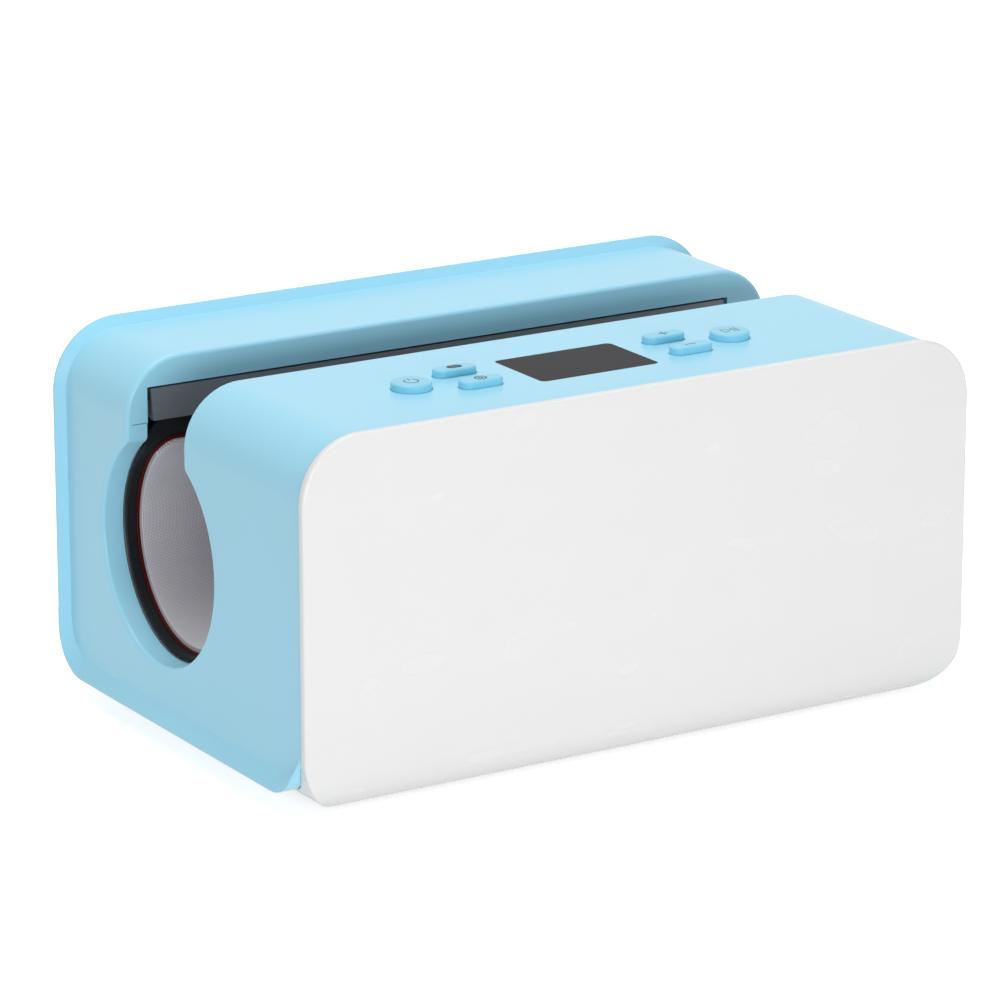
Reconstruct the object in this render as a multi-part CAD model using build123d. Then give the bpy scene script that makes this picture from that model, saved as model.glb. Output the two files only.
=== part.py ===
from build123d import *
import math
import os

# Tumbler heat press. Millimetres, +Z up, X along the tunnel, the white front towards -Y.
# The origin is on the floor, under the middle of the housing.

# Housing
BODY_LENGTH = 318.2  # between the flat end faces
BODY_DEPTH = 205.0  # white front to rear cover
DECK_HEIGHT = 157.6  # floor to the flat top
CORNER_RADIUS = 25.5  # upper corners, seen from the front
SHELL_WALL = 2.8
FOOT_HEIGHT = 1.5
FOOT_RADIUS = 8.0
FOOT_EDGE_X = 34.0  # foot centre in from the end faces
FOOT_EDGE_Y = 30.0  # foot centre in from the front and rear
COVER_WALL = 3.0  # white parts
FRONT_LIP = 0.9  # white cover stands out past the shell
LOWER_RADIUS = 19.5  # lower front edge, seen from the end
SEAM_GAP = 0.3
SKIRT_BOTTOM = 10.5  # floor to the shell's lower edge
FLARE_RISE = 7.5  # band below the flat end face
FLARE_CORNER = 15.5  # inner edge of the band at its lower corners
FLARE_FRONT = 0.5  # band left at the front edge
SKIRT_INNER = 10.0  # width of the shell's inward ledge
SKIRT_LEDGE = 3.0  # thickness of that ledge
TONGUE_DEPTH = 3.0
TONGUE_WALL = 2.0
TONGUE_GAP = 0.25
LIP_FLARE = 4.2  # rear lip and skirt stand out this far
LIP_LAND = 1.6  # flat edge of the lip
REAR_COVER_DEPTH = 4.2
LIP_ROUNDING = 0.5
FRONT_ROUNDING = 1.2
VENT_COUNT = 8
VENT_PITCH = 9.0
VENT_WIDTH = 2.6
VENT_HEIGHT = 30.0
VENT_EDGE_X = 64.1  # first vent in from the left end face
VENT_Z = 60.0

# Screw columns between the base tray and the shell
COLUMN_EDGE_X = 31.1  # column centre in from the end faces
COLUMN_EDGE_FRONT = 26.5
COLUMN_EDGE_REAR = 14.5
COLUMN_SIZE = 9.0
COLUMN_BOTTOM = 16.0
SCREW_RADIUS = 1.45
SCREW_HEAD_RADIUS = 3.0
SCREW_HEAD = 2.3
SCREW_BITE = 12.0
PILOT_FIT = 0.05
HOLE_FIT = 0.25
REAR_SCREW_LOW = 40.0
REAR_SCREW_DROP = 21.6  # upper rear screws below the deck

# Tunnel through the housing, along X
TUNNEL_SETBACK = 82.0  # axis to the rear face
TUNNEL_DROP = 75.4  # deck to the axis
MOUTH_RADIUS = 47.7
SLOT_WIDTH = 48.7
MOUTH_ROUNDING = 1.8
NECK_ROUNDING = 4.0  # where the slot meets the round tunnel
SLEEVE_LENGTH = 7.0
SLEEVE_WALL = 2.5

# Heating mat, three layers bent into a C with its two hems held in the bars
MAT_EDGE_LEFT = 10.6  # in from the end faces
MAT_EDGE_RIGHT = 22.1
MAT_OUTER_RADIUS = 47.2
BACKING_THICKNESS = 2.0
EDGE_THICKNESS = 0.8
PAD_THICKNESS = 2.0
BACKING_BORDER = 4.0  # backing shows past the red layer
RED_BORDER = 1.3  # red layer shows past the pad
HEM_OFFSET = 26.9  # tunnel centre plane to the middle of each hem
HEM_BEND = 12.0
BEAD_WIDTH = 4.2
BEAD_HEIGHT = 3.0
SOFT_GAP = 0.3

# Clamp bars and the windows that they pass through
WINDOW_EDGE_LEFT = 10.1  # in from the end faces
WINDOW_EDGE_RIGHT = 20.6
WINDOW_GAP = 0.9  # above a bar
BAR_END_GAP = 1.8
BAR_RISE = 49.0  # tunnel axis to the bar's underside
BAR_HEIGHT = 13.1
BAR_FACE_TOP = 24.8  # tunnel centre plane to the bar's face, at its top edge
BAR_FACE_BOTTOM = 22.4
BAR_BACK = 33.5
BAR_TRAVEL = 14.0

# Drive of each bar: a gearmotor turns a screw inside a nut tube
ROD_RADIUS = 3.0
ROD_EDGE = 46.95  # in from the bar's ends
ROD_LENGTH = 40.0
ROD_FIT = 0.05
BUSHING_LENGTH = 12.0
BUSHING_WIDTH = 14.0
BUSHING_START = 8.0  # behind the bar's back
SCREW_DRIVE_RADIUS = 2.5
SCREW_SHAFT_RADIUS = 1.5
SCREW_SHAFT_LENGTH = 6.0
NUT_LENGTH = 5.0
NUT_TUBE_RADIUS = 4.6
NUT_TUBE_GAP = 0.5
DRIVE_FIT = 0.05
RUN_CLEARANCE = 1.0
GEARBOX_WIDTH = 12.0
GEARBOX_HEIGHT = 10.0
GEARBOX_LENGTH = 9.0
MOTOR_LENGTH = 12.5
BRACKET_SHEET = 1.5
BRACKET_LEG_WIDTH = 36.0
BRACKET_LEG_EDGE = 20.0  # leg centre in from the rod beside it
BRACKET_TOE = 5.5
BRACKET_WEB_OFFSET = 63.5
SHELF_START = 3.0  # behind the bar's back
SHELF_END = 76.0

# Heat shield, insulation and their supports
SHIELD_THICKNESS = 1.0
SHIELD_END_GAP = 0.3
INSULATION_THICKNESS = 6.0
INSULATION_END = 8.0
WRAP_OPENING = 32.5  # half width of the open top
CRADLE_THICKNESS = 3.0
CRADLE_EDGE = 28.0  # outer cradles in from the chassis ends
CRADLE_TOE = 12.0
CRADLE_HALF_WIDTH = 56.0
CRADLE_DROP = 22.2  # tunnel axis to the cradles' tops
CRADLE_FIT = 0.1
CUTOUT_X = 50.0
CUTOUT_LENGTH = 12.0
CUTOUT_WIDTH = 16.0
CUTOUT_HEIGHT = 6.0
CUTOUT_GAP = 1.0
CHASSIS_EDGE_X = 41.1  # in from the end faces
CHASSIS_EDGE_Y = 10.5  # in from the front and rear
CHASSIS_SHEET = 1.5
CHASSIS_BOTTOM = 9.0
PAD_RADIUS = 5.0
PAD_EDGE_X = 13.0
PAD_EDGE_Y = 16.0

# Controls on the deck
CONTROLS_SHIFT_Y = 0.175  # from the middle of the deck in front of the slot
CONTROLS_X = -4.3
ROUND_BUTTON_RADIUS = 8.4
ROUND_BUTTON_OFFSET = 77.0
OVAL_BUTTON_LENGTH = 19.6
OVAL_BUTTON_WIDTH = 8.2
OVAL_BUTTON_OFFSET = 50.7
OVAL_BUTTON_PITCH = 20.4
BUTTON_RISE = 3.2
BUTTON_ROUNDING = 1.0
BUTTON_GAP = 0.25
BUTTON_TRAVEL = 1.0
FLANGE_WIDTH = 1.2
FLANGE_THICKNESS = 1.2
STEM_RADIUS = 2.0
DISPLAY_LENGTH = 56.4
DISPLAY_DEPTH = 38.0
DISPLAY_SHIFT_X = 1.5
DISPLAY_CORNER = 2.5
DISPLAY_GLASS = 1.6
DISPLAY_LEDGE = 3.0
DISPLAY_FIT = 0.15
MODULE_GAP = 0.3
BOARD_DROP = 10.6  # deck to the board's upper face
BOARD_SHEET = 1.6
BOARD_LENGTH = 184.0
BOARD_DEPTH = 52.0
BOARD_POST_RADIUS = 3.0
BOARD_POST_EDGE = 5.0
TACT_SIZE = 6.0
TACT_HEIGHT = 3.5
TACT_TIP_RADIUS = 1.75
TACT_TIP = 0.5
BOARD_SCREW_RADIUS = 1.0
BOARD_SCREW_HEAD_RADIUS = 2.0
BOARD_SCREW_HEAD = 1.4
BOARD_SCREW_BITE = 4.0

# Power electronics on the chassis
POWER_EDGE_X = 56.1  # in from the left end face
POWER_LENGTH = 150.0
POWER_EDGE_Y = 13.5  # in from the front
POWER_GAP = 4.5  # to the front bracket
STANDOFF_HEIGHT = 6.0
STANDOFF_RADIUS = 3.0
STANDOFF_EDGE = 5.0
TRANSFORMER = (34.0, 28.0, 24.0)
TRANSFORMER_X = 30.0
TRANSFORMER_ROUNDING = 2.0
RELAY = (20.0, 16.0, 16.0)
RELAY_X = 75.0
CAPACITOR_RADIUS = 6.0
CAPACITOR_HEIGHT = 20.0
CAPACITOR_PITCH = 15.0
CAPACITOR_X = 105.0

# Power inlet in the rear cover
INLET_EDGE_X = 55.1  # centre in from the right end face
INLET_Z = 44.0
INLET_WIDTH = 27.0
INLET_HEIGHT = 19.4
INLET_DEPTH = 24.0
INLET_WALL = 1.5
INLET_FLOOR = 8.0
INLET_FLANGE_WIDTH = 34.0
INLET_FLANGE_HEIGHT = 26.0
INLET_FLANGE = 1.4
INLET_GAP = 0.1
PIN_WIDTH = 2.0
PIN_HEIGHT = 4.0
PIN_LENGTH = 10.6
PIN_PITCH = 7.0
PIN_RISE = 2.0

# Derived places
HALF_LENGTH = BODY_LENGTH / 2
FRONT_Y = -BODY_DEPTH / 2
REAR_Y = BODY_DEPTH / 2
TUNNEL_Y = REAR_Y - TUNNEL_SETBACK
TUNNEL_Z = DECK_HEIGHT - TUNNEL_DROP
SHELL_FRONT = FRONT_Y + COVER_WALL + SEAM_GAP
SHELL_REAR = REAR_Y - REAR_COVER_DEPTH
CEILING = DECK_HEIGHT - SHELL_WALL
LEDGE_X = HALF_LENGTH - SKIRT_INNER
TRAY_FLOOR = FOOT_HEIGHT + COVER_WALL
CHASSIS_TOP = CHASSIS_BOTTOM + CHASSIS_SHEET
COLUMN_X = HALF_LENGTH - COLUMN_EDGE_X
COLUMN_FRONT_Y = FRONT_Y + COLUMN_EDGE_FRONT
COLUMN_REAR_Y = REAR_Y - COLUMN_EDGE_REAR
COLUMNS = [(x, y) for x in (-COLUMN_X, COLUMN_X) for y in (COLUMN_FRONT_Y, COLUMN_REAR_Y)]
REAR_SCREW_HIGH = DECK_HEIGHT - REAR_SCREW_DROP
VENT_X = VENT_EDGE_X - HALF_LENGTH
INLET_X = HALF_LENGTH - INLET_EDGE_X
HALF_SLOT = SLOT_WIDTH / 2
MAT_LEFT = MAT_EDGE_LEFT - HALF_LENGTH
MAT_RIGHT = HALF_LENGTH - MAT_EDGE_RIGHT
WINDOW_LEFT = WINDOW_EDGE_LEFT - HALF_LENGTH
WINDOW_RIGHT = HALF_LENGTH - WINDOW_EDGE_RIGHT
BAR_BOTTOM = TUNNEL_Z + BAR_RISE
BAR_TOP = BAR_BOTTOM + BAR_HEIGHT
BAR_LEFT = WINDOW_LEFT + BAR_END_GAP
BAR_RIGHT = WINDOW_RIGHT - BAR_END_GAP
BAR_MIDDLE = (BAR_LEFT + BAR_RIGHT) / 2
ROD_SPREAD = BAR_RIGHT - BAR_LEFT - 2 * ROD_EDGE
BRACKET_LEG_SPREAD = ROD_SPREAD - 2 * BRACKET_LEG_EDGE
DRIVE_Z = BAR_BOTTOM + BAR_HEIGHT / 2
WINDOW_TOP = BAR_TOP + WINDOW_GAP
WALL_BOTTOM = BAR_BOTTOM - WINDOW_GAP
SHIELD_INNER = MAT_OUTER_RADIUS + SOFT_GAP
SHIELD_OUTER = SHIELD_INNER + SHIELD_THICKNESS
WRAP_OUTER = SHIELD_OUTER + INSULATION_THICKNESS
SLEEVE_INNER_X = HALF_LENGTH - SHELL_WALL - SLEEVE_LENGTH
NUT_START = BAR_BACK + RUN_CLEARANCE + BAR_TRAVEL
NUT_END = NUT_START + NUT_LENGTH
GEARBOX_START = NUT_END + RUN_CLEARANCE
SHELF_TOP = DRIVE_Z - GEARBOX_HEIGHT / 2
SHELF_BOTTOM = SHELF_TOP - BRACKET_SHEET
FLANGE_BOTTOM = CEILING - FLANGE_THICKNESS
CRADLE_TOP = TUNNEL_Z - CRADLE_DROP
CHASSIS_LENGTH = BODY_LENGTH - 2 * CHASSIS_EDGE_X
CHASSIS_DEPTH = BODY_DEPTH - 2 * CHASSIS_EDGE_Y
CRADLE_OFFSET = CHASSIS_LENGTH / 2 - CRADLE_EDGE
CONTROLS_Y = (FRONT_Y + TUNNEL_Y - HALF_SLOT) / 2 + CONTROLS_SHIFT_Y
BOARD_TOP = DECK_HEIGHT - BOARD_DROP
TACT_TOP = BOARD_TOP + TACT_HEIGHT + TACT_TIP
STEM_BOTTOM = TACT_TOP + BUTTON_TRAVEL + SOFT_GAP
BOARD_BOTTOM = BOARD_TOP - BOARD_SHEET
DISPLAY_X = CONTROLS_X + DISPLAY_SHIFT_X
POWER_LEFT = POWER_EDGE_X - HALF_LENGTH
POWER_FRONT = FRONT_Y + POWER_EDGE_Y
POWER_DEPTH = TUNNEL_Y - BRACKET_WEB_OFFSET - BRACKET_SHEET - POWER_GAP - POWER_FRONT
POWER_BOTTOM = CHASSIS_TOP + STANDOFF_HEIGHT
POWER_TOP = POWER_BOTTOM + BOARD_SHEET
FAR = 1000.0


# Basic solids

def block(x0, x1, y0, y1, z0, z1):
    size = Box(x1 - x0, y1 - y0, z1 - z0)
    return Pos((x0 + x1) / 2, (y0 + y1) / 2, (z0 + z1) / 2) * size


def post(x, y, z0, z1, radius):
    return Pos(x, y, (z0 + z1) / 2) * Cylinder(radius, z1 - z0)


def rod_y(x, y0, y1, z, radius):
    return Pos(x, (y0 + y1) / 2, z) * Rot(90, 0, 0) * Cylinder(radius, abs(y1 - y0))


def rod_x(x0, x1, y, z, radius):
    return Pos((x0 + x1) / 2, y, z) * Rot(0, 90, 0) * Cylinder(radius, x1 - x0)


def along_y(face, y0, y1):
    # A face drawn as (x, z), from y0 back to y1
    plane = Plane(origin=(0, y1, 0), x_dir=(1, 0, 0), z_dir=(0, -1, 0))
    return extrude(plane * face, amount=y1 - y0)


def along_x(face, x0, x1):
    # A face drawn as (y, z), from x0 to x1
    plane = Plane(origin=(x0, 0, 0), x_dir=(0, 1, 0), z_dir=(1, 0, 0))
    return extrude(plane * face, amount=x1 - x0)


def outline(u0, u1, v0, v1, low_left, low_right, high):
    # A rectangle with its own radius at the lower corners and one for both upper corners
    bend = 1 - math.sqrt(0.5)
    edges = []
    corners = [
        ((u0, v0), low_left, (1, 1)),
        ((u1, v0), low_right, (-1, 1)),
        ((u1, v1), high, (-1, -1)),
        ((u0, v1), high, (1, -1)),
    ]
    points = []
    for (u, v), radius, (su, sv) in corners:
        by_v = (u, v + sv * radius)
        by_u = (u + su * radius, v)
        middle = (u + su * radius * bend, v + sv * radius * bend)
        ends = [by_v, middle, by_u] if su == sv else [by_u, middle, by_v]
        points.append((ends, radius))
    for index, (ends, radius) in enumerate(points):
        following = points[(index + 1) % 4][0]
        if radius > 0:
            edges.append(ThreePointArc(*ends))
        edges.append(Line(ends[2], following[0]))
    return make_face(edges)


def polygon(points):
    return make_face(Polyline(*points, close=True))


def side_y(side, offset):
    # Distance from the tunnel's centre plane, side 1 to the rear and -1 to the front
    return TUNNEL_Y + side * offset


def side_block(side, x0, x1, offset0, offset1, z0, z1):
    ends = sorted((side_y(side, offset0), side_y(side, offset1)))
    return block(x0, x1, ends[0], ends[1], z0, z1)


def side_rod(side, x, offset0, offset1, z, radius):
    ends = sorted((side_y(side, offset0), side_y(side, offset1)))
    return rod_y(x, ends[0], ends[1], z, radius)


# Housing envelopes

def keyhole(radius, half_width, top):
    # Round tunnel with a straight neck up to the given height, drawn as (y, z)
    circle = Pos(TUNNEL_Y, TUNNEL_Z) * Circle(radius)
    neck_middle = (TUNNEL_Z + top) / 2
    neck = Pos(TUNNEL_Y, neck_middle) * Rectangle(2 * half_width, top - TUNNEL_Z)
    face = circle + neck
    meeting = TUNNEL_Z + math.sqrt(radius ** 2 - half_width ** 2)
    corners = [v for v in face.vertices() if abs(v.Y - meeting) < 0.01]
    return fillet(corners, NECK_ROUNDING)


def end_face(x, front, rear, low, radius, top):
    # Outline of an end seen along X, set in from the front, rear and lower edges
    face = outline(SHELL_FRONT + front, REAR_Y - rear, SKIRT_BOTTOM + low, top, radius, radius, 0)
    return Plane(origin=(x, 0, 0), x_dir=(0, 1, 0), z_dir=(1, 0, 0)) * face


def end_flare(side):
    # Band that flares out round the lower edge of one end and fades out at the front
    near = side * HALF_LENGTH
    far = side * (HALF_LENGTH + LIP_FLARE)
    top = SKIRT_BOTTOM + FLARE_RISE + LOWER_RADIUS
    ends = sorted((near - side * SEAM_GAP, far))
    profile = outline(SHELL_FRONT, REAR_Y, SKIRT_BOTTOM, top, LOWER_RADIUS, LOWER_RADIUS, 0)
    plate = along_x(profile, ends[0], ends[1])
    inner = end_face(near, FLARE_FRONT, REAR_COVER_DEPTH, FLARE_RISE, FLARE_CORNER, 2 * top)
    outer = end_face(far, FLARE_FRONT, LIP_LAND, LIP_LAND, LOWER_RADIUS - LIP_LAND, 2 * top)
    flare = plate - loft([inner, outer], ruled=True)
    fade = polygon([
        (0, SHELL_FRONT), (near, SHELL_FRONT), (far, SHELL_FRONT + LIP_FLARE), (far, REAR_Y), (0, REAR_Y),
    ])
    return flare & extrude(fade, amount=2 * top)


def shell_envelope():
    # Outer form of the shell: flared lower edge at both ends, round upper corners
    half = HALF_LENGTH
    body = along_y(
        outline(-half, half, SKIRT_BOTTOM, DECK_HEIGHT, 0, 0, CORNER_RADIUS), SHELL_FRONT, SHELL_REAR
    )
    zone = block(-FAR, FAR, -FAR, SHELL_REAR, 0, FAR)
    return body.fuse(end_flare(1) & zone, end_flare(-1) & zone)


def shell_side_zone(gap):
    # Space of the blue parts seen from the end, with rounded lower corners
    radius = LOWER_RADIUS + gap
    face = outline(
        SHELL_FRONT - gap, REAR_Y + gap, SKIRT_BOTTOM - gap, DECK_HEIGHT + FAR, radius, radius, 0
    )
    return along_x(face, -FAR, FAR)


def white_envelope(inset):
    half = HALF_LENGTH + FRONT_LIP - inset
    low = FOOT_HEIGHT + inset
    top = DECK_HEIGHT + FRONT_LIP - inset
    round_xz = CORNER_RADIUS + FRONT_LIP - inset
    round_yz = LOWER_RADIUS - inset
    front = FRONT_Y + inset
    rear = REAR_Y - inset
    long_form = along_y(outline(-half, half, low, top, round_xz, round_xz, round_xz), front, rear)
    side_form = along_x(outline(front, rear, low, top, round_yz, round_yz, 0), -half, half)
    return long_form & side_form


def white_walls():
    outside = white_envelope(0)
    front_face = outside.faces().sort_by(Axis.Y)[0]
    outside = fillet(front_face.edges(), FRONT_ROUNDING)
    return outside - white_envelope(COVER_WALL) - shell_side_zone(SEAM_GAP)


# Housing pieces

def shell_room(grow):
    # Space inside the shell, above its inward ledge
    half = HALF_LENGTH - SHELL_WALL + grow
    radius = CORNER_RADIUS - SHELL_WALL + grow
    ledge = SKIRT_BOTTOM + SKIRT_LEDGE
    return along_y(outline(-half, half, ledge, CEILING + grow, 0, 0, radius), -FAR, FAR)


def slot_wall(side):
    wall = side_block(
        side, -HALF_LENGTH, HALF_LENGTH, HALF_SLOT, HALF_SLOT + SHELL_WALL, WALL_BOTTOM, DECK_HEIGHT
    )
    window = side_block(
        side, WINDOW_LEFT, WINDOW_RIGHT, 0, HALF_SLOT + 2 * SHELL_WALL, WALL_BOTTOM - SHELL_WALL, WINDOW_TOP
    )
    return (wall & shell_room(0.3 * SHELL_WALL)) - window


def screw_column(x, y):
    column = block(
        x - COLUMN_SIZE / 2, x + COLUMN_SIZE / 2, y - COLUMN_SIZE / 2, y + COLUMN_SIZE / 2,
        COLUMN_BOTTOM, DECK_HEIGHT - SHELL_WALL / 2,
    )
    return column - post(x, y, COLUMN_BOTTOM - 1, COLUMN_BOTTOM + SCREW_BITE + 1, SCREW_RADIUS + PILOT_FIT)


def board_posts():
    posts = []
    for x in (-1, 1):
        for y in (-1, 1):
            place_x = CONTROLS_X + x * (BOARD_LENGTH / 2 - BOARD_POST_EDGE)
            place_y = CONTROLS_Y + y * (BOARD_DEPTH / 2 - BOARD_POST_EDGE)
            posts.append((place_x, place_y))
    return posts


def button_places():
    near = OVAL_BUTTON_PITCH / 2
    return {
        "power_button": (CONTROLS_X - ROUND_BUTTON_OFFSET, CONTROLS_Y),
        "preset_button": (CONTROLS_X - OVAL_BUTTON_OFFSET, CONTROLS_Y + near),
        "settings_button": (CONTROLS_X - OVAL_BUTTON_OFFSET, CONTROLS_Y - near),
        "plus_button": (CONTROLS_X + OVAL_BUTTON_OFFSET, CONTROLS_Y + near),
        "minus_button": (CONTROLS_X + OVAL_BUTTON_OFFSET, CONTROLS_Y - near),
        "start_button": (CONTROLS_X + ROUND_BUTTON_OFFSET, CONTROLS_Y),
    }


def button_form(name, grow, z0, z1):
    x, y = button_places()[name]
    if name in ("power_button", "start_button"):
        face = Circle(ROUND_BUTTON_RADIUS + grow)
    else:
        straight = OVAL_BUTTON_LENGTH - OVAL_BUTTON_WIDTH
        face = SlotCenterToCenter(straight, OVAL_BUTTON_WIDTH + 2 * grow)
    return Pos(x, y, z0) * extrude(face, amount=z1 - z0)


def display_form(length, depth, corner, z0, z1):
    face = RectangleRounded(length, depth, corner)
    return Pos(DISPLAY_X, CONTROLS_Y, z0) * extrude(face, amount=z1 - z0)


def rounded_mouth(shell):
    # Tunnel and slot through both ends, with one rounded rim round the whole opening
    shell = shell - along_x(keyhole(MOUTH_RADIUS, HALF_SLOT, 2 * DECK_HEIGHT), -FAR, FAR)
    rim = []
    for edge in shell.edges():
        centre = edge.center()
        reach = math.hypot(centre.Y - TUNNEL_Y, centre.Z - TUNNEL_Z)
        on_end = abs(abs(centre.X) - HALF_LENGTH) < 0.01
        if on_end and reach < MOUTH_RADIUS + 1 and edge.length > 1:
            rim.append(edge)
    return fillet(rim, MOUTH_ROUNDING)


def upper_shell():
    shell = shell_envelope() & shell_side_zone(0)
    shell = shell - shell_room(0)
    shell = shell - block(-LEDGE_X, LEDGE_X, -FAR, FAR, 0, SKIRT_BOTTOM + SKIRT_LEDGE + 1)
    shell = rounded_mouth(shell)
    shell = shell.fuse(slot_wall(1), slot_wall(-1), *shell_columns())
    for x, y in board_posts():
        radius = BOARD_SCREW_RADIUS + PILOT_FIT
        shell = shell - post(x, y, BOARD_TOP - 1, BOARD_TOP + BOARD_SCREW_BITE, radius)
    for name in button_places():
        shell = shell - button_form(name, BUTTON_GAP, CEILING - 1, DECK_HEIGHT + 1)
    shell = shell - display_form(
        DISPLAY_LENGTH + 2 * DISPLAY_FIT, DISPLAY_DEPTH + 2 * DISPLAY_FIT, DISPLAY_CORNER + DISPLAY_FIT,
        DECK_HEIGHT - DISPLAY_GLASS, DECK_HEIGHT + 1,
    )
    shell = shell - display_form(
        DISPLAY_LENGTH - 2 * DISPLAY_LEDGE, DISPLAY_DEPTH - 2 * DISPLAY_LEDGE, DISPLAY_CORNER,
        CEILING - 1, DECK_HEIGHT + 1,
    )
    for x, y, z in rear_screw_places():
        shell = shell - rod_y(x, y, SHELL_REAR + 1, z, SCREW_RADIUS + PILOT_FIT)
    return shell


def shell_columns():
    columns = [screw_column(x, y) for x, y in COLUMNS]
    for x, y in board_posts():
        columns.append(post(x, y, BOARD_TOP, CEILING + SHELL_WALL / 2, BOARD_POST_RADIUS))
    return columns


def rear_screw_places():
    # Each pilot starts inside a rear column
    start = COLUMN_REAR_Y - COLUMN_SIZE / 4
    return [(x, start, z) for x in (-COLUMN_X, COLUMN_X) for z in (REAR_SCREW_LOW, REAR_SCREW_HIGH)]


def rear_outline(grow):
    half = HALF_LENGTH + grow
    return outline(-half, half, SKIRT_BOTTOM, DECK_HEIGHT + grow, 0, 0, CORNER_RADIUS + grow)


def inlet_pocket():
    flange = INLET_FLANGE + INLET_GAP
    wide = INLET_FLANGE_WIDTH / 2 + INLET_GAP
    tall = INLET_FLANGE_HEIGHT / 2 + INLET_GAP
    pocket = block(
        INLET_X - wide, INLET_X + wide, REAR_Y - flange, REAR_Y + 1, INLET_Z - tall, INLET_Z + tall
    )
    wide = INLET_WIDTH / 2 + INLET_GAP
    tall = INLET_HEIGHT / 2 + INLET_GAP
    hole = block(INLET_X - wide, INLET_X + wide, SHELL_REAR - 1, REAR_Y, INLET_Z - tall, INLET_Z + tall)
    return pocket + hole


def rear_envelope():
    # Slab with the rear lip above, and the end flares below
    land = REAR_Y - LIP_LAND
    near = Plane(origin=(0, SHELL_REAR, 0), x_dir=(1, 0, 0), z_dir=(0, -1, 0)) * rear_outline(0)
    far = Plane(origin=(0, land, 0), x_dir=(1, 0, 0), z_dir=(0, -1, 0)) * rear_outline(LIP_FLARE)
    edge = along_y(rear_outline(LIP_FLARE), land, REAR_Y)
    rim = edge.faces().sort_by(Axis.Y)[-1].edges()
    edge = fillet(rim.filter_by_position(Axis.Z, SKIRT_BOTTOM + 1, FAR), LIP_ROUNDING)
    change = SKIRT_BOTTOM + FLARE_RISE + LOWER_RADIUS
    lip = (loft([near, far], ruled=True) + edge) & block(-FAR, FAR, -FAR, FAR, change, FAR)
    slab = block(-HALF_LENGTH, HALF_LENGTH, SHELL_REAR, REAR_Y, SKIRT_BOTTOM, change)
    zone = block(-FAR, FAR, SHELL_REAR, FAR, 0, change)
    return lip.fuse(slab, end_flare(1) & zone, end_flare(-1) & zone)


def rear_cover():
    cover = rear_envelope() & shell_side_zone(0)
    cover = cover - inlet_pocket()
    for index in range(VENT_COUNT):
        x = VENT_X + index * VENT_PITCH
        vent = block(
            x - VENT_WIDTH / 2, x + VENT_WIDTH / 2, SHELL_REAR - 1, REAR_Y + 1,
            VENT_Z - VENT_HEIGHT / 2, VENT_Z + VENT_HEIGHT / 2,
        )
        cover = cover - vent
    bosses = []
    inner = COLUMN_REAR_Y + COLUMN_SIZE / 2
    for x, _, z in rear_screw_places():
        bosses.append(rod_y(x, inner, SHELL_REAR + 1, z, COLUMN_SIZE / 2))
    cover = cover.fuse(*bosses)
    for x, _, z in rear_screw_places():
        cover = cover - rod_y(x, inner - 1, REAR_Y + 1, z, SCREW_RADIUS + HOLE_FIT)
        head = SCREW_HEAD + SOFT_GAP
        cover = cover - rod_y(x, REAR_Y - head, REAR_Y + 1, z, SCREW_HEAD_RADIUS + HOLE_FIT)
    return cover


def front_cover():
    split = FRONT_Y + LOWER_RADIUS
    walls = white_walls() & block(-FAR, FAR, FRONT_Y - 1, split - SEAM_GAP / 2, 0, FAR)
    half = HALF_LENGTH - SHELL_WALL - TONGUE_GAP
    top = CEILING - TONGUE_GAP
    radius = CORNER_RADIUS - SHELL_WALL - TONGUE_GAP
    low = SKIRT_BOTTOM + LOWER_RADIUS
    outer = outline(-half, half, low, top, 0, 0, radius)
    inner_half = half - TONGUE_WALL
    inner = outline(-inner_half, inner_half, low - 1, top - TONGUE_WALL, 0, 0, radius - TONGUE_WALL)
    start = FRONT_Y + COVER_WALL
    tongue = along_y(outer, start - 0.5, start + TONGUE_DEPTH) - along_y(inner, start, start + FAR / 10)
    return walls + tongue


def pad_places():
    x = CHASSIS_LENGTH / 2 - PAD_EDGE_X
    y = CHASSIS_DEPTH / 2 - PAD_EDGE_Y
    return [(sx * x, sy * y) for sx in (-1, 1) for sy in (-1, 0, 1)]


def base_tray():
    split = FRONT_Y + LOWER_RADIUS
    tray = white_walls() & block(-FAR, FAR, split + SEAM_GAP / 2, FAR, 0, FAR)
    inside = TRAY_FLOOR - COVER_WALL / 2
    bosses = [post(x, y, inside, COLUMN_BOTTOM, COLUMN_SIZE / 2) for x, y in COLUMNS]
    pads = [post(x, y, inside, CHASSIS_BOTTOM, PAD_RADIUS) for x, y in pad_places()]
    tray = tray.fuse(*bosses, *pads)
    for x, y in COLUMNS:
        tray = tray - post(x, y, 0, COLUMN_BOTTOM + 1, SCREW_RADIUS + HOLE_FIT)
        tray = tray - post(x, y, 0, TRAY_FLOOR, SCREW_HEAD_RADIUS + HOLE_FIT)
    for x, y in pad_places():
        tray = tray - post(x, y, TRAY_FLOOR, CHASSIS_BOTTOM + 1, SCREW_RADIUS + PILOT_FIT)
    return tray


def feet():
    x = HALF_LENGTH - FOOT_EDGE_X
    y = REAR_Y - FOOT_EDGE_Y
    return [post(sx * x, sy * y, 0, FOOT_HEIGHT, FOOT_RADIUS) for sx in (-1, 1) for sy in (-1, 1)]


def base_screws():
    screws = []
    for x, y in COLUMNS:
        shank = post(x, y, TRAY_FLOOR - 0.5, COLUMN_BOTTOM + SCREW_BITE, SCREW_RADIUS)
        screws.append(post(x, y, TRAY_FLOOR - SCREW_HEAD, TRAY_FLOOR, SCREW_HEAD_RADIUS) + shank)
    return screws


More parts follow.
